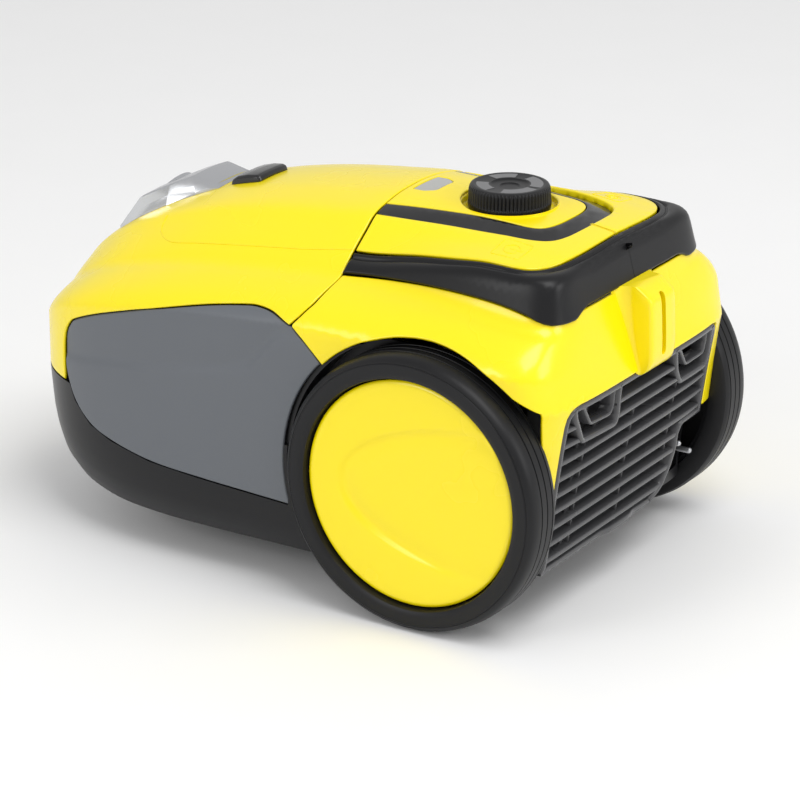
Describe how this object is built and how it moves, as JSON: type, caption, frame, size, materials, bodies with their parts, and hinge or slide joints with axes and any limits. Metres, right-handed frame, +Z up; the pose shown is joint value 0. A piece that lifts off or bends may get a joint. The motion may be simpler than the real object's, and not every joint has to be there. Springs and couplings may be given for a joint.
{
  "type": "canister vacuum cleaner",
  "caption": "Canister floor vacuum cleaner with a hinged front cover, large rear wheels, foot pedals, a speed knob, a rear exhaust grille and a parked power plug.",
  "frame": {"origin": "on the floor, below the middle of the overall box", "axes": "+Z up, -Y towards the hose inlet, +Y towards the exhaust grille, +X towards the machine's left side"},
  "size_m": [0.288, 0.4345, 0.2514],
  "materials": {
    "yellow_shell": "smooth glossy moulding",
    "grey_panel": "satin mid grey",
    "black_plastic": "satin black",
    "black_gloss": "glossy black",
    "tyre_rubber": "soft satin tread",
    "silver_hood": "bright silver metallised plastic",
    "window_lens": "grey translucent lens",
    "seal_rubber": "matt",
    "steel": "turned and drawn steel",
    "copper": "copper windings",
    "bag_paper": "soft filter paper",
    "bag_card": "pressed card",
    "filter_fleece": "white fleece",
    "white_plastic": "natural white moulding",
    "red_plastic": "red moulding",
    "circuit_board": "green board"
  },
  "bodies": {
    "base": {"rear_housing": "yellow_shell", "centre_panel": "yellow_shell", "side_panel_left": "grey_panel", "side_panel_right": "grey_panel", "base_housing": "black_plastic", "carry_handle": "black_plastic", "inner_trim": "black_plastic", "control_deck": "black_plastic", "filter_frame": "black_plastic", "reel_bracket": "black_plastic", "plug_body": "black_plastic", "cord_lead": "black_plastic", "exhaust_grille": "black_gloss", "fill_window": "window_lens", "motor_seal": "seal_rubber", "motor_mount": "seal_rubber", "axle_pin_left": "steel", "axle_pin_right": "steel", "reel_axle": "steel", "plug_pin_a": "steel", "plug_pin_b": "steel", "power_pedal_spring": "steel", "rewind_pedal_spring": "steel", "stator": "steel", "dust_bag": "bag_paper", "bag_collar": "bag_card", "exhaust_filter": "filter_fleece", "motor_filter": "filter_fleece", "bag_holder": "white_plastic", "motor_housing": "white_plastic", "indicator_tray": "white_plastic", "control_board": "circuit_board"},
    "cover": {"front_cover": "yellow_shell", "hinge_arm_left": "black_plastic", "hinge_arm_right": "black_plastic", "inlet_hood": "silver_hood", "inlet_tube": "black_plastic", "inlet_seal": "seal_rubber"},
    "latch": {"cover_latch": "black_gloss"},
    "power_pedal": {"power_pedal": "yellow_shell"},
    "rewind_pedal": {"rewind_pedal": "yellow_shell"},
    "brake_lever": {"brake_lever": "red_plastic"},
    "knob": {"speed_knob": "black_plastic"},
    "wheel_left": {"tyre_left": "tyre_rubber", "wheel_rim_left": "black_plastic", "hub_cap_left": "yellow_shell"},
    "wheel_right": {"tyre_right": "tyre_rubber", "wheel_rim_right": "black_plastic", "hub_cap_right": "yellow_shell"},
    "caster_swivel": {"caster_fork": "black_plastic", "caster_axle": "steel"},
    "caster_roller": {"caster_wheel": "tyre_rubber"},
    "cord_reel": {"cord_reel": "white_plastic", "cord_winding": "black_plastic", "reel_spring_case": "white_plastic"},
    "fan": {"impeller": "steel", "armature": "copper"},
    "indicator_flag": {"indicator_flag": "red_plastic"}
  },
  "joints": [
    {"name": "cover_hinge", "type": "hinge", "parent": "base", "child": "cover", "pos_m": [0, 0.062, 0.2335], "axis": [-1, 0, 0], "range_deg": [0, 70]},
    {"name": "latch_slide", "type": "slide", "parent": "cover", "child": "latch", "axis": [0, -0.989, -0.148], "range_m": [0, 0.005], "stiffness_N_per_m": 300, "springref_m": -0.004},
    {"name": "power_pedal_hinge", "type": "hinge", "parent": "base", "child": "power_pedal", "pos_m": [0.06, 0.047, 0.214], "axis": [-1, 0, 0], "range_deg": [0, 2.5], "stiffness_Nm_per_rad": 2, "springref_deg": -8.59},
    {"name": "rewind_pedal_hinge", "type": "hinge", "parent": "base", "child": "rewind_pedal", "pos_m": [-0.06, 0.047, 0.214], "axis": [-1, 0, 0], "range_deg": [0, 2.5], "stiffness_Nm_per_rad": 2, "springref_deg": -8.59},
    {"name": "brake_lever_pivot", "type": "hinge", "parent": "base", "child": "brake_lever", "pos_m": [-0.0516, 0.104, 0.186], "axis": [-1, 0, 0], "range_deg": [0, 10]},
    {"name": "knob_turn", "type": "hinge", "parent": "base", "child": "knob", "pos_m": [0, 0.105, 0.24], "axis": [0, 0, -1], "range_deg": [0, 270]},
    {"name": "left_wheel_spin", "type": "hinge", "parent": "base", "child": "wheel_left", "pos_m": [0.12, 0.1165, 0.09], "axis": [1, 0, 0], "continuous": true},
    {"name": "right_wheel_spin", "type": "hinge", "parent": "base", "child": "wheel_right", "pos_m": [-0.12, 0.1165, 0.09], "axis": [1, 0, 0], "continuous": true},
    {"name": "caster_turn", "type": "hinge", "parent": "base", "child": "caster_swivel", "pos_m": [0, -0.138, 0.045], "axis": [0, 0, 1], "continuous": true},
    {"name": "caster_roll", "type": "hinge", "parent": "caster_swivel", "child": "caster_roller", "pos_m": [0, -0.129, 0.013], "axis": [1, 0, 0], "continuous": true},
    {"name": "reel_spin", "type": "hinge", "parent": "base", "child": "cord_reel", "pos_m": [-0.07, 0.08, 0.112], "axis": [1, 0, 0], "continuous": true},
    {"name": "fan_spin", "type": "hinge", "parent": "base", "child": "fan", "pos_m": [0.036, 0.08, 0.092], "axis": [0, 1, 0], "continuous": true},
    {"name": "indicator_slide", "type": "slide", "parent": "base", "child": "indicator_flag", "axis": [1, 0, 0], "range_m": [0, 0.022]}
  ],
  "couplings": [
    {"joint": "brake_lever_pivot", "follows": "rewind_pedal_hinge", "ratio": 3.7}
  ]
}
